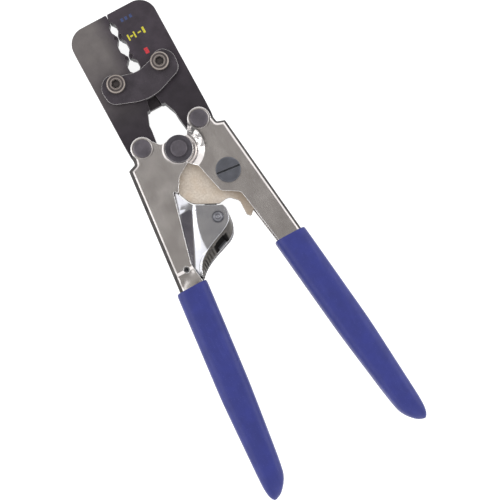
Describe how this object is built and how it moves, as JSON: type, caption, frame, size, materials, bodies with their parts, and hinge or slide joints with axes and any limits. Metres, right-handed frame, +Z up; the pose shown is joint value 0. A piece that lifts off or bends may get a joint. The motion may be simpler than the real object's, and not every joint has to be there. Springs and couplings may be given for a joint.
{
  "type": "ratcheting hand crimping tool",
  "caption": "Hand crimping tool with eye-shaped nests between two linked jaws, folded steel handles, a ratchet with a release trigger, and dipped grips.",
  "frame": {"origin": "on the handle pivot's axis, in the plane that the tool lies on", "axes": "+Z up along the pivot pins, +Y towards the jaw tips, +X towards the handle that carries the ratchet plates"},
  "size_m": [0.09, 0.2529, 0.0192],
  "materials": {
    "plated_sheet": "bright nickel-plated sheet steel, fine rolling lines",
    "plated_trigger": "bright nickel-plated sheet steel",
    "blue_vinyl": "matte dipped vinyl",
    "blackened_jaw": "black oxide, satin",
    "blackened_plate": "black oxide, satin",
    "blackened_screw": "black oxide, worn at the rim",
    "blackened_pin": "black oxide, stippled",
    "blackened_washer": "black oxide, satin",
    "tan_sector": "tan passivated plating, matte",
    "hardened_tooth_steel": "hardened steel, satin",
    "grey_slotted_screw": "dark grey phosphate",
    "plain_steel": "turned steel",
    "spring_pin_steel": "rolled spring steel",
    "spring_wire": "drawn spring wire",
    "rivet_steel": "upset rivet, satin"
  },
  "bodies": {
    "left_handle": {"left_handle_frame": "plated_sheet", "left_grip": "blue_vinyl", "left_jaw_pin": "blackened_pin", "handle_pivot_pin": "blackened_pin", "pivot_washer": "blackened_washer", "trigger_pin": "spring_pin_steel", "trigger_spring": "spring_wire"},
    "right_handle": {"right_handle_frame": "plated_sheet", "right_grip": "blue_vinyl", "right_jaw_pin": "blackened_pin", "sector_plate": "tan_sector", "ratchet_plate": "hardened_tooth_steel", "adjuster_screw": "grey_slotted_screw", "adjuster_nut": "grey_slotted_screw", "adjuster_spacers": "plain_steel"},
    "left_jaw": {"left_jaw": "blackened_jaw"},
    "right_jaw": {"right_jaw": "blackened_jaw"},
    "link": {"front_link_plate": "blackened_plate", "rear_link_plate": "blackened_plate", "left_link_screw": "blackened_screw", "right_link_screw": "blackened_screw"},
    "trigger": {"trigger": "plated_trigger", "pawl_pin": "rivet_steel", "pawl_spacer": "plain_steel", "pawl_spring": "spring_wire"},
    "pawl": {"pawl": "hardened_tooth_steel"}
  },
  "joints": [
    {"name": "handle_pivot", "type": "hinge", "parent": "left_handle", "child": "right_handle", "pos_m": [0, 0, 0.0085], "axis": [0, 0, 1], "range_deg": [-0.8, 44]},
    {"name": "left_jaw_pivot", "type": "hinge", "parent": "left_handle", "child": "left_jaw", "pos_m": [-0.016, 0.0087, 0.0085], "axis": [0, 0, 1], "range_deg": [-0.58, 29.13]},
    {"name": "right_jaw_pivot", "type": "hinge", "parent": "right_handle", "child": "right_jaw", "pos_m": [0.016, 0.0087, 0.0085], "axis": [0, 0, 1], "range_deg": [-29.13, 0.58]},
    {"name": "link_pivot", "type": "hinge", "parent": "left_jaw", "child": "link", "pos_m": [-0.0123, 0.043, 0.0085], "axis": [0, 0, 1], "range_deg": [-7.13, 0.18]},
    {"name": "trigger_pivot", "type": "hinge", "parent": "left_handle", "child": "trigger", "pos_m": [-0.0252, -0.0549, 0.0085], "axis": [0, 0, 1], "range_deg": [-5, 0], "stiffness_Nm_per_rad": 0.6, "springref_deg": 6.88},
    {"name": "pawl_pivot", "type": "hinge", "parent": "trigger", "child": "pawl", "pos_m": [0.001, -0.0389, 0.0085], "axis": [0, 0, 1], "range_deg": [-12, 12], "stiffness_Nm_per_rad": 0.02}
  ],
  "couplings": [
    {"joint": "left_jaw_pivot", "follows": "handle_pivot", "ratio": 0.661},
    {"joint": "right_jaw_pivot", "follows": "handle_pivot", "ratio": -0.661},
    {"joint": "link_pivot", "follows": "handle_pivot", "ratio": -0.161}
  ]
}
